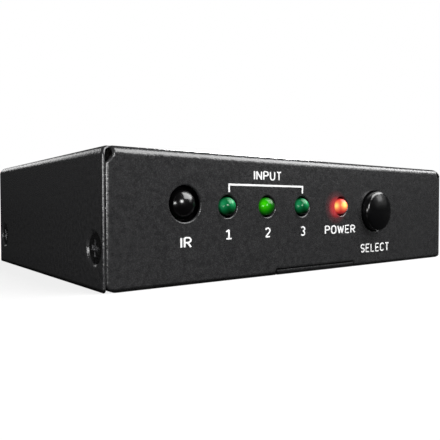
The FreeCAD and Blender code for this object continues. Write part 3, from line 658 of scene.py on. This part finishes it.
def trayOutline():
    topX, topY = flatWall(trayFoldX, tray["flange"]), flatWall(trayFoldY, trayHigh.z)
    foldEnd, corner = trayFoldX - tray["reliefGap"], tray["panelCorner"]
    wingY = flatWall(trayFoldY, tray["bend"] + tray["reliefGap"])
    half = [(tray["tabHalf"], trayLow.y), (tray["tabHalf"], trayFrontY), (topX, trayFrontY),
            (topX, flangeEndY), (foldEnd, flangeEndY), (foldEnd, wingY), (trayHigh.x, wingY)]
    half += arc(trayHigh.x - corner, topY - corner, corner, 0, 90, tray["cornerSteps"])
    return half + [(-x, y) for x, y in reversed(half)]


flangeScrews = [(side * flatWall(trayFoldX, cover["screwHeight"]), y) for side, y in screwPlaces]


def trayCutters():
    sheet, thread, collar = tray["sheet"], tray["thread"], tray["collarLength"]
    cutters = [rod((x, y, -sheet), thread + 2 * sheet, 2 * sheet, thread) for x, y in flangeScrews]
    cutters += [rod((x, y, 0), thread, 2 * sheet + collar) for x, y in flangeScrews]
    for name in socketNames:
        face = [(x, flatWall(trayFoldY, z)) for x, z in socketFace(name, -tray["socketGap"])]
        cutters.append(drawn(face, -sheet, 2 * sheet, upward=True, corner=socket["corner"]))
    pin = nodeMiddle("power_inlet_pin")
    cutters.append(rod((pin.x, flatWall(trayFoldY, pin.z), -sheet), tray["inletHole"], 3 * sheet))
    return cutters


def foldTray(bm):
    for vert in bm.verts:
        x, y, z = vert.co
        if y > trayFoldY + touching and abs(x) < trayHigh.x + touching:
            out, along = foldedPast(tray, y - trayFoldY, z)
            vert.co = (x, trayFoldY + out, tray["bend"] + along)
        elif abs(x) > trayFoldX:
            out, along = foldedPast(tray, abs(x) - trayFoldX, z)
            vert.co = (math.copysign(trayFoldX + out, x), y, tray["bend"] + along)


def makeTray():
    sheet, edge, inner = tray["sheet"], tray["edgeRound"], tray["innerSteps"]
    bm = drawn(trayOutline(), 0, sheet, upward=True)
    rounded(bm, edge, tray["edgeSteps"], inPlane("z", 0))
    rounded(bm, tray["innerRound"], inner, inPlane("z", sheet))
    middle = sheet / 2
    collars = [rod((x, y, middle), tray["collar"], middle + tray["collarLength"]) for x, y in flangeScrews]
    bm = carved(carved(bm, collars, "UNION"), trayCutters())
    rounded(bm, edge / 2, inner, inPlane("z", 0))
    creased(bm, tray, [(0, trayFoldY, 0), (trayFoldX, 0, 0), (-trayFoldX, 0, 0)])
    foldTray(bm)
    makePiece("trayShell", bm, "bottom_tray")


makeTray()
print("tray made")


# Side screws, each turned to its own angle

screw = {
    "head": 2.7, "shank": 1.45, "length": 4.0, "sink": 0.35, "rim": 0.14, "tip": 0.3,
    "span": 3.1, "arm": 0.8, "depth": 1.0, "over": 0.1, "taper": 0.55, "recessRound": 0.05, "recessSteps": 2,
    "turns": (5, -24, 38, 61),
}


def recessArm():
    # a bar that narrows as it goes into the head, which starts at Y 0
    half, arm = screw["span"] / 2, screw["arm"] / 2
    bar = block((-half, -screw["over"], -arm), (half, screw["depth"], arm))
    deep = [v for v in bar.verts if v.co.y > 0]
    bmesh.ops.scale(bar, vec=(screw["taper"], 1, screw["taper"]), verts=deep)
    return bar


def screwShape(turn):
    head, shank, length, rim, tip = (screw[key] for key in ("head", "shank", "length", "rim", "tip"))
    bm = turned([(0, 0), (head - rim, 0), (head - rim / 3, rim / 3), (head - rim, rim), (shank, head - shank),
                 (shank, length - tip), (shank - tip, length), (0, length)])
    crossing = swung(recessArm(), Matrix.Rotation(math.pi / 2, 3, "Y"))
    bm = carved(bm, [recessArm(), crossing])
    reach, onFace = screw["span"] / 2 + screw["recessRound"], inPlane("y", 0)
    rounded(bm, screw["recessRound"], screw["recessSteps"],
            lambda edge: onFace(edge) and all(vert.co.xz.length < reach for vert in edge.verts))
    return swung(bm, Matrix.Rotation(math.radians(turn), 3, "Y"))


def makeScrews():
    shapes = []
    for (side, y), turn in zip(screwPlaces, screw["turns"]):
        shape = swung(screwShape(turn), turnBetween((0, 1, 0), (-side, 0, 0)))
        shapes.append(shifted(shape, (side * (sideX - screw["sink"]), y, cover["screwHeight"])))
    makePiece("sideScrewSet", gathered(shapes), "side_screws")


makeScrews()
print("screws made")


# Lamps and receiver

lens = {"radius": 1.8, "flange": 2.15, "flangeDepth": 1.0, "edge": 0.12, "domeSteps": 16, "steps": 48}
lensPieces = {"led_input_1": "lensInput1", "led_input_2": "lensInput2", "led_input_3": "lensInput3",
              "led_power": "lensPower"}
receiver = {"dome": 2.75, "domeBack": 1.0, "domeSteps": 18, "steps": 56, "bodyRound": 0.35, "roundSteps": 4}


def makeLens(name, pieceName):
    low, high = nodeBox(name)
    radius, flange, edge = lens["radius"], lens["flange"], lens["edge"]
    flangeY = high.y - lens["flangeDepth"]
    profile = arc(0, low.y + radius, radius, -90, 0, lens["domeSteps"])
    profile += [(radius, flangeY - edge), (radius + edge, flangeY), (flange - edge, flangeY),
                (flange, flangeY + edge), (flange, high.y - edge), (flange - edge, high.y), (0, high.y)]
    makePiece(pieceName, turned(profile, lens["steps"], (low + high) / 2), name)


def makeReceiver():
    low, high = nodeBox("ir_receiver")
    radius = receiver["dome"]
    faceY = low.y + radius
    backY = faceY + receiver["domeBack"]
    body = rounded(block((low.x, faceY, low.z), high), receiver["bodyRound"], receiver["roundSteps"])
    profile = arc(0, faceY, radius, -90, 0, receiver["domeSteps"]) + [(radius, backY), (0, backY)]
    dome = turned(profile, receiver["steps"], (low + high) / 2)
    makePiece("receiverDome", carved(body, [dome], "UNION"), "ir_receiver")


for name, pieceName in lensPieces.items():
    makeLens(name, pieceName)
makeReceiver()
print("lamps and receiver made")


# SELECT button and its return spring

cap = {
    "crownRadius": 13.0, "round": 0.7, "rearRound": 0.15, "wall": 1.0, "faceDepth": 2.45,
    "boss": 2.6, "bore": 1.6, "boreDepth": 3.2, "crownSteps": 10, "roundSteps": 8, "steps": 96,
}
spring = {"wire": 0.18, "wireSteps": 10, "turns": 5, "stepsPerTurn": 28, "travel": 1.2}


def makeCap():
    low, high = nodeBox("select_button")
    middle = (low + high) / 2
    radius, crown, turn, back = high.x - middle.x, cap["crownRadius"], cap["round"], cap["rearRound"]
    # the rim's arc touches the crown's sphere and the cap's side
    reach = radius - turn
    tilt = math.degrees(math.asin(reach / (crown - turn)))
    rimY = low.y + crown - math.sqrt((crown - turn) ** 2 - reach ** 2)
    profile = arc(0, low.y + crown, crown, -90, tilt - 90, cap["crownSteps"])
    profile += arc(reach, rimY, turn, tilt - 90, 0, cap["roundSteps"])[1:]
    floorY, inner, boss, bore = low.y + cap["faceDepth"], radius - cap["wall"], cap["boss"], cap["bore"]
    profile += [(radius, high.y - back), (radius - back, high.y), (inner, high.y), (inner, floorY),
                (boss, floorY), (boss, high.y - back), (boss - back, high.y), (bore, high.y),
                (bore, high.y - cap["boreDepth"]), (0, high.y - cap["boreDepth"])]
    makePiece("selectCap", turned(profile, cap["steps"], middle), "select_button", "button")


def makeSpring():
    low, high = nodeBox("switch_spring")
    middle = (low + high) / 2
    wire, steps = spring["wire"], spring["turns"] * spring["stepsPerTurn"]
    bm = bmesh.new()
    bmesh.ops.create_circle(bm, segments=spring["wireSteps"], radius=wire)
    shifted(bm, ((high.x - low.x) / 2 - wire, low.y + wire, 0))
    rise = (high.y - low.y - 2 * wire) / steps
    bmesh.ops.spin(bm, geom=bm.verts[:] + bm.edges[:], cent=(0, 0, 0), axis=(0, 1, 0), dvec=(0, rise, 0),
                   angle=2 * math.pi * spring["turns"], steps=steps)
    bmesh.ops.holes_fill(bm, edges=[e for e in bm.edges if e.is_boundary], sides=spring["wireSteps"])
    shifted(bm, (middle.x, 0, middle.z))
    coil = makePiece("returnSpring", bm, "switch_spring", smoothUnder=60)
    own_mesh(coil)


makeCap()
makeSpring()
print("button made")


# Video sockets on the rear: folded steel shells with spring fingers, legs and a moulded tongue

def socketFinger(x, rootY, top):
    # a strip that dips into the opening and rises at its free end
    length, dip = socket["windowLength"], socket["fingerDip"]
    upper = [(rootY - socket["fingerRoot"], top)]
    upper += [(rootY + y * length, top + z * dip) for y, z in socket["fingerLine"]]
    lower = [(y, z - socket["fingerSheet"]) for y, z in reversed(upper)]
    half = socket["finger"] / 2
    # its side view is drawn in X and Z, then turned about Z
    return swung(drawn(upper + lower, -x - half, -x + half), Matrix.Rotation(math.pi / 2, 3, "Z"))


def socketShell(name):
    low, high = nodeBox(name + "_shell")
    middle, wall, corner = (low.x + high.x) / 2, socket["wall"], socket["corner"]
    bm = drawn(socketFace(name, 0), low.y, high.y, corner=corner)
    hollow = drawn(socketFace(name, wall), low.y + wall, high.y + wall, corner=corner - wall / 2)
    bm = carved(bm, [hollow])
    rounded(bm, socket["lip"], socket["roundSteps"], inPlane("y", high.y))
    windowY = high.y - socket["windowInset"] - socket["windowLength"]
    half, legHalf = socket["windowWidth"] / 2, Vector((socket["legSheet"], socket["legWidth"])) / 2
    windows, added = [], []
    for x in (middle - socket["spread"], middle + socket["spread"]):
        windows.append(block((x - half, windowY, high.z - wall - socket["windowCut"]),
                             (x + half, windowY + socket["windowLength"], high.z + wall)))
        added.append(socketFinger(x, windowY, high.z))
    legTop = high.z - socket["height"] + wall
    for x in (middle - socket["legX"], middle + socket["legX"]):
        for y in (low.y + inset for inset in socket["legInsets"]):
            added.append(block((x - legHalf.x, y - legHalf.y, low.z), (x + legHalf.x, y + legHalf.y, legTop)))
    bm = carved(carved(bm, windows), added, "UNION")
    makePiece(socketNames[name] + "Shell", bm, name + "_shell")


def socketTongue(name):
    low, high = nodeBox(name + "_tongue")
    middle = (low.x + high.x) / 2
    middleZ = nodeBox(name + "_shell")[1].z - socket["height"] / 2
    half, thick = socket["tongueWidth"] / 2, socket["tongueThickness"] / 2
    base = drawn(socketFace(name, socket["wall"] + socket["baseGap"]), low.y, low.y + socket["baseLength"],
                 corner=socket["corner"] / 2)
    tongue = block((middle - half, low.y + socket["tongueRoot"], middleZ - thick),
                   (middle + half, high.y, middleZ + thick))
    rounded(tongue, socket["tongueRound"], socket["tongueSteps"], inPlane("y", high.y))
    makePiece(socketNames[name] + "Tongue", carved(base, [tongue], "UNION"), name + "_tongue")


for name in socketNames:
    socketShell(name)
    socketTongue(name)
print("sockets made")


# Power inlet

inlet = {
    "collar": 4.0, "collarStart": 1.8, "bore": 3.2, "boreDepth": 10.0, "chamfer": 0.3, "bodyRound": 0.22,
    "rootRadius": 0.7, "rootDepth": 1.5, "leafHalf": 0.85, "leafLength": 7.05, "leafSheet": 0.3,
    "leafGap": 0.01, "overlap": 1, "roundSteps": 3, "steps": 72,
}


def makeInlet():
    low, high = nodeBox("power_inlet_housing")
    pin = nodeMiddle("power_inlet_pin")
    bodyEnd, floorY = high.y - inlet["collarStart"], high.y - inlet["boreDepth"]
    collar, bore, edge, overlap = inlet["collar"], inlet["bore"], inlet["chamfer"], inlet["overlap"]
    body = rounded(block(low, (high.x, bodyEnd, high.z)), inlet["bodyRound"], inlet["roundSteps"])
    ring = turned([(0, bodyEnd - overlap), (collar, bodyEnd - overlap), (collar, high.y - edge / 2),
                   (collar - edge / 2, high.y), (0, high.y)], inlet["steps"], pin)
    hollow = turned([(0, floorY), (bore, floorY), (bore, high.y - edge), (bore + 2 * edge, high.y + edge),
                     (0, high.y + edge)], inlet["steps"], pin)
    root = rod((pin.x, floorY - inlet["rootDepth"], pin.z), inlet["rootRadius"],
               inlet["rootDepth"] + overlap, direction=(0, 1, 0))
    leafBottom = pin.z - bore - inlet["leafSheet"]
    leafRoom = block((pin.x - inlet["leafHalf"], floorY + inlet["leafGap"], leafBottom),
                     (pin.x + inlet["leafHalf"], floorY + inlet["leafLength"], pin.z))
    bm = carved(body, [ring], "UNION")
    for tool in (hollow, root, leafRoom):
        bm = carved(bm, [tool])
    makePiece("inletHousing", bm, "power_inlet_housing")


makeInlet()
print("inlet made")


# Printed legends: plain words for what each control does, and the line that groups the three inputs

legend = {
    # a stroke's half width is a share of the letters' height, and so is the gap between letters
    "depth": 0.03, "stroke": 0.085, "gap": 0.3, "strokeSteps": 2, "bowlSteps": 8,
    # word, then the left, right, bottom and top of its place in X and Z
    "front": {
        "legendInput": ("INPUT", -18.5, -11.15, 19.2, 21.05),
        "legendReceiver": ("IR", -35.6, -33.15, 6.7, 8.6),
        "legendOne": ("1", -25.5, -24.05, 7.75, 9.7), "legendTwo": ("2", -15.5, -14.05, 7.75, 9.8),
        "legendThree": ("3", -5.35, -4.0, 7.7, 9.8), "legendPower": ("POWER", 2.2, 12.75, 7.8, 9.75),
        "legendSelect": ("SELECT", 14.75, 25.8, 3.0, 5.1),
    },
    # word, the node that it stands over or under, and its bottom
    "rear": {
        "rearLegendOne": ("1", "input_socket_1_shell", 16.3),
        "rearLegendTwo": ("2", "input_socket_2_shell", 16.3),
        "rearLegendThree": ("3", "input_socket_3_shell", 16.3),
        "rearLegendOutput": ("OUTPUT", "output_socket_shell", 16.3),
        "rearLegendPower": ("POWER", "power_inlet_pin", 20.0),
    },
    # widths are shares of the height, of a letter in a word and of a number that stands alone
    "rearHeight": 1.7, "rearLetter": 0.86, "rearNumber": 0.688,
    "bracket": {"left": -24.85, "right": -4.73, "bottom": 16.7, "top": 18.35, "line": 0.38},
}


def letterLines(letter):
    # the lines of points that draw a letter 1 high
    steps = legend["bowlSteps"]
    bowl = [(0, 1)] + arc(0.3, 0.74, 0.26, 90, -90, steps) + [(0, 0.48)]
    stem = [(0, 0), (0, 1)]
    return {
        "1": [[(0, 0.76), (0.26, 1)], [(0.26, 1), (0.26, 0)], [(0, 0), (0.52, 0)]],
        "2": [arc(0.27, 0.73, 0.27, 165, -35, steps) + [(0, 0)], [(0, 0), (0.54, 0)]],
        "3": [arc(0.25, 0.75, 0.25, 150, -90, steps), arc(0.25, 0.25, 0.25, 90, -150, steps)],
        "C": [arc(0.28, 0.72, 0.28, 30, 180, steps) + arc(0.28, 0.28, 0.28, 180, 330, steps)],
        "E": [[(0.5, 1), (0, 1), (0, 0), (0.5, 0)], [(0, 0.5), (0.42, 0.5)]],
        "I": [stem],
        "L": [[(0, 1), (0, 0), (0.46, 0)]],
        "N": [stem, [(0, 1), (0.58, 0)], [(0.58, 0), (0.58, 1)]],
        "O": [arc(0.29, 0.71, 0.29, 180, 0, steps) + arc(0.29, 0.29, 0.29, 0, -180, steps)
              + [(0, 0.71)]],
        "P": [stem, bowl],
        "R": [stem, bowl, [(0.26, 0.48), (0.56, 0)]],
        "S": [arc(0.26, 0.74, 0.26, 30, 270, steps) + arc(0.26, 0.24, 0.24, 90, -150, steps)[1:]],
        "T": [[(0, 1), (0.56, 1)], [(0.28, 1), (0.28, 0)]],
        "U": [[(0, 1)] + arc(0.28, 0.28, 0.28, 180, 360, steps) + [(0.56, 1)]],
        "W": [[(0, 1), (0.2, 0)], [(0.2, 0), (0.4, 0.9)], [(0.4, 0.9), (0.6, 0)], [(0.6, 0), (0.8, 1)]],
    }[letter]


def lettersOf(word):
    # the word in strokes about 1 high, in X and Y
    data = bpy.data.curves.new("strokes", "CURVE")
    data.dimensions = "3D"
    data.bevel_depth = legend["stroke"]
    data.bevel_resolution = legend["strokeSteps"]
    data.use_fill_caps = True
    start = 0.0
    for letter in word:
        lines = letterLines(letter)
        for line in lines:
            closed = math.dist(line[0], line[-1]) < seam
            points = line[:-1] if closed else line
            spline = data.splines.new("POLY")
            spline.points.add(len(points) - 1)
            spline.use_cyclic_u = closed
            for point, (x, y) in zip(spline.points, points):
                point.co = (start + x, y, 0, 1)
        start += max(x for line in lines for x, y in line) + legend["gap"]
    strokes = linked("strokes", data)
    bpy.context.view_layer.update()
    mesh = bpy.data.meshes.new_from_object(strokes.evaluated_get(bpy.context.evaluated_depsgraph_get()))
    bm = bmesh.new()
    bm.from_mesh(mesh)
    bpy.data.curves.remove(data)  # and its object
    bpy.data.meshes.remove(mesh)
    bmesh.ops.remove_doubles(bm, verts=bm.verts, dist=seam)
    return bm


def makeWord(name, word, left, right, bottom, top, faceY, facing=0):
    # facing is the turn from the front, in degrees
    bm = lettersOf(word)
    xs, ys = [vert.co.x for vert in bm.verts], [vert.co.y for vert in bm.verts]
    shifted(bm, Vector((min(xs) + max(xs), min(ys) + max(ys), 0)) / -2)
    size = ((right - left) / (max(xs) - min(xs)), (top - bottom) / (max(ys) - min(ys)),
            legend["depth"] / legend["stroke"])
    bmesh.ops.scale(bm, vec=size, verts=bm.verts)
    swung(bm, Matrix.Rotation(math.radians(facing), 3, "Z") @ Matrix.Rotation(math.pi / 2, 3, "X"))
    makePiece(name, shifted(bm, ((left + right) / 2, faceY, (bottom + top) / 2)))


def makeRearWord(name, word, node, bottom):
    height, x = legend["rearHeight"], nodeMiddle(node).x
    share = legend["rearNumber"] if len(word) == 1 else legend["rearLetter"] * len(word)
    half = height * share / 2
    makeWord(name, word, x - half, x + half, bottom, bottom + height, trayHigh.y, facing=180)


def makeBracket(left, right, bottom, top, line):
    outline = [(left, bottom), (left, top), (right, top), (right, bottom), (right - line, bottom),
               (right - line, top - line), (left + line, top - line), (left + line, bottom)]
    makePiece("legendBracket", drawn(outline, frontY - legend["depth"], frontY + legend["depth"]))


for name, place in legend["front"].items():
    makeWord(name, *place, frontY)
for name, place in legend["rear"].items():
    makeRearWord(name, *place)
makeBracket(**legend["bracket"])
print("legends made")


# Camera, at the photograph's place

view = {
    "lens": 41.4317, "sensor": 36, "yaw": 37.073, "pitch": 1.498, "roll": -0.108,
    "place": (-83.695, -107.271, 13.957), "clipStart": 0.001,
}


def makeCamera():
    yaw, pitch, roll = (math.radians(view[key]) for key in ("yaw", "pitch", "roll"))
    ahead = Vector((math.sin(yaw) * math.cos(pitch), math.cos(yaw) * math.cos(pitch), -math.sin(pitch)))
    level = Vector((math.cos(yaw), -math.sin(yaw), 0))
    down = ahead.cross(level)
    right = math.cos(roll) * level - math.sin(roll) * down
    up = -(math.sin(roll) * level + math.cos(roll) * down)
    data = bpy.data.cameras.new("photoCamera")
    data.sensor_width = view["sensor"]
    data.lens = view["lens"]
    data.clip_start = view["clipStart"]
    camera = linked("photoCamera", data)
    turn = Matrix((right, up, -ahead)).transposed().to_4x4()
    camera.matrix_world = Matrix.Translation(Vector(view["place"]) * mm) @ turn
    bpy.context.scene.camera = camera


makeCamera()


# Studio: soft boxes that the camera doesn't see, and white all round for the camera. Mirrors and glass
# see that white where the photograph's backdrop stood.

studio = {
    "floorRadius": 1.6, "floorSteps": 64, "floorDrop": 5e-5, "floorColour": 0.01, "seenColour": 0.85,
    # the floor that the camera sees takes shadows up to the first distance, less and less to the second
    "floorFade": (0.064, 0.16), "nearWhite": 0.8,
    # degrees from straight behind the object, and the height of a direction, where the backdrop ends
    "backdropSide": (30, 20), "backdropTop": (0.03, 0.06), "air": 0.02,
}
# places and sizes are in metres, and glow is a box's brightness, whatever its size
softBoxes = {
    "overheadBox": {"place": (0.4, -0.3, 0.4), "aim": (0.4, -0.3, 0), "size": (0.76, 0.49), "glow": 7.5},
    "leftStrip": {"place": (-0.244, -0.075, 0.035), "aim": (-0.05, -0.032, 0.014), "size": (0.12, 0.05),
                  "glow": 13.0},
    "glintBox": {"place": (-0.31, -0.8, 0.29), "size": (0.26, 0.26), "glow": 22.0},
    "rightBox": {"place": (0.44, -0.37, 0.19), "size": (0.15, 0.08), "glow": 2.4},
    "rightCard": {"place": (0.46, -0.36, 0.22), "size": (0.42, 0.28), "glow": 0.2},
    "backBox": {"place": (-0.09, 0.9, 0.32), "size": (0.27, 0.24), "glow": 2.0},
    "rearBox": {"place": (0.58, 0.68, 0.2), "aim": (0.02, 0, 0.01), "size": (0.3, 0.3), "glow": 28.0},
}


def makeSoftBox(name, place, size, glow, aim=(0, 0, 0.01)):
    data = bpy.data.lights.new(name, "AREA")
    data.shape = "RECTANGLE"
    data.size, data.size_y = size
    data.energy = glow * math.pi * size[0] * size[1]
    light = linked(name, data)
    light.location = place
    light.rotation_euler = (Vector(aim) - Vector(place)).to_track_quat("-Z", "Y").to_euler()
    light.visible_camera = False


def seenAsWhite(tree, direction):
    # 1 for the camera, and for mirrors and glass where the direction is towards the backdrop
    path = tree.nodes.new("ShaderNodeLightPath")
    direction = vectored(tree, "NORMALIZE", direction)
    yaw = math.radians(view["yaw"])
    ahead = vectored(tree, "DOT_PRODUCT", direction, (math.sin(yaw), math.cos(yaw), 0), result="Value")
    sides = [math.cos(math.radians(angle)) for angle in studio["backdropSide"]]
    behind = computed(tree, "MULTIPLY", mapped(tree, ahead, sides, (0, 1)),
                      mapped(tree, heightOf(tree, direction), studio["backdropTop"], (1, 0)))
    mirrored = computed(tree, "MAXIMUM", path.outputs["Is Glossy Ray"], path.outputs["Is Transmission Ray"])
    return computed(tree, "MAXIMUM", path.outputs["Is Camera Ray"],
                    computed(tree, "MULTIPLY", mirrored, behind))


def mixedShader(tree, share, first, second):
    mix = tree.nodes.new("ShaderNodeMixShader")
    for entry, source in zip(mix.inputs, (share, first, second)):
        tree.links.new(source, entry)
    return mix.outputs["Shader"]


def floorMaterial():
    material, tree, shader = plainShader("floorWhite", [studio["floorColour"]] * 3,
                                         {"Roughness": 0.9, "Specular IOR Level": 0})
    seen = tree.nodes.new("ShaderNodeBsdfDiffuse")
    seen.inputs["Color"].default_value = (*[studio["seenColour"]] * 3, 1)
    white = tree.nodes.new("ShaderNodeEmission")
    fadeStart, fadeEnd = studio["floorFade"]
    distance = distanceFrom(tree, (0, 0, 0), fadeEnd)
    far = mapped(tree, distance, (fadeStart / fadeEnd, 1), (studio["nearWhite"], 1))
    pale = mixedShader(tree, far, seen.outputs["BSDF"], white.outputs["Emission"])
    surface = mixedShader(tree, seenAsWhite(tree, ownPlace(tree)), shader.outputs["BSDF"], pale)
    tree.links.new(surface, tree.nodes["Material Output"].inputs["Surface"])
    return material


def makeFloor():
    bm = bmesh.new()
    bmesh.ops.create_circle(bm, cap_ends=True, segments=studio["floorSteps"], radius=studio["floorRadius"])
    mesh = meshOf(shifted(bm, (0, 0, -studio["floorDrop"])), "floor")
    mesh.materials.append(floorMaterial())
    floor = linked("floor", mesh)


def makeWorld():
    world = bpy.data.worlds.new("studioAir")
    world.use_nodes = True
    tree = world.node_tree
    air, white = tree.nodes["Background"], tree.nodes.new("ShaderNodeBackground")
    for background, strength in ((air, studio["air"]), (white, 1)):
        background.inputs["Color"].default_value = (1, 1, 1, 1)
        background.inputs["Strength"].default_value = strength
    direction = tree.nodes.new("ShaderNodeTexCoord").outputs["Generated"]
    surface = mixedShader(tree, seenAsWhite(tree, direction), air.outputs["Background"],
                          white.outputs["Background"])
    tree.links.new(surface, tree.nodes["World Output"].inputs["Surface"])
    bpy.context.scene.world = world


makeFloor()
makeWorld()
for name, box in softBoxes.items():
    makeSoftBox(name, **box)
bpy.context.scene.view_settings.view_transform = "Standard"
print("camera and studio made")
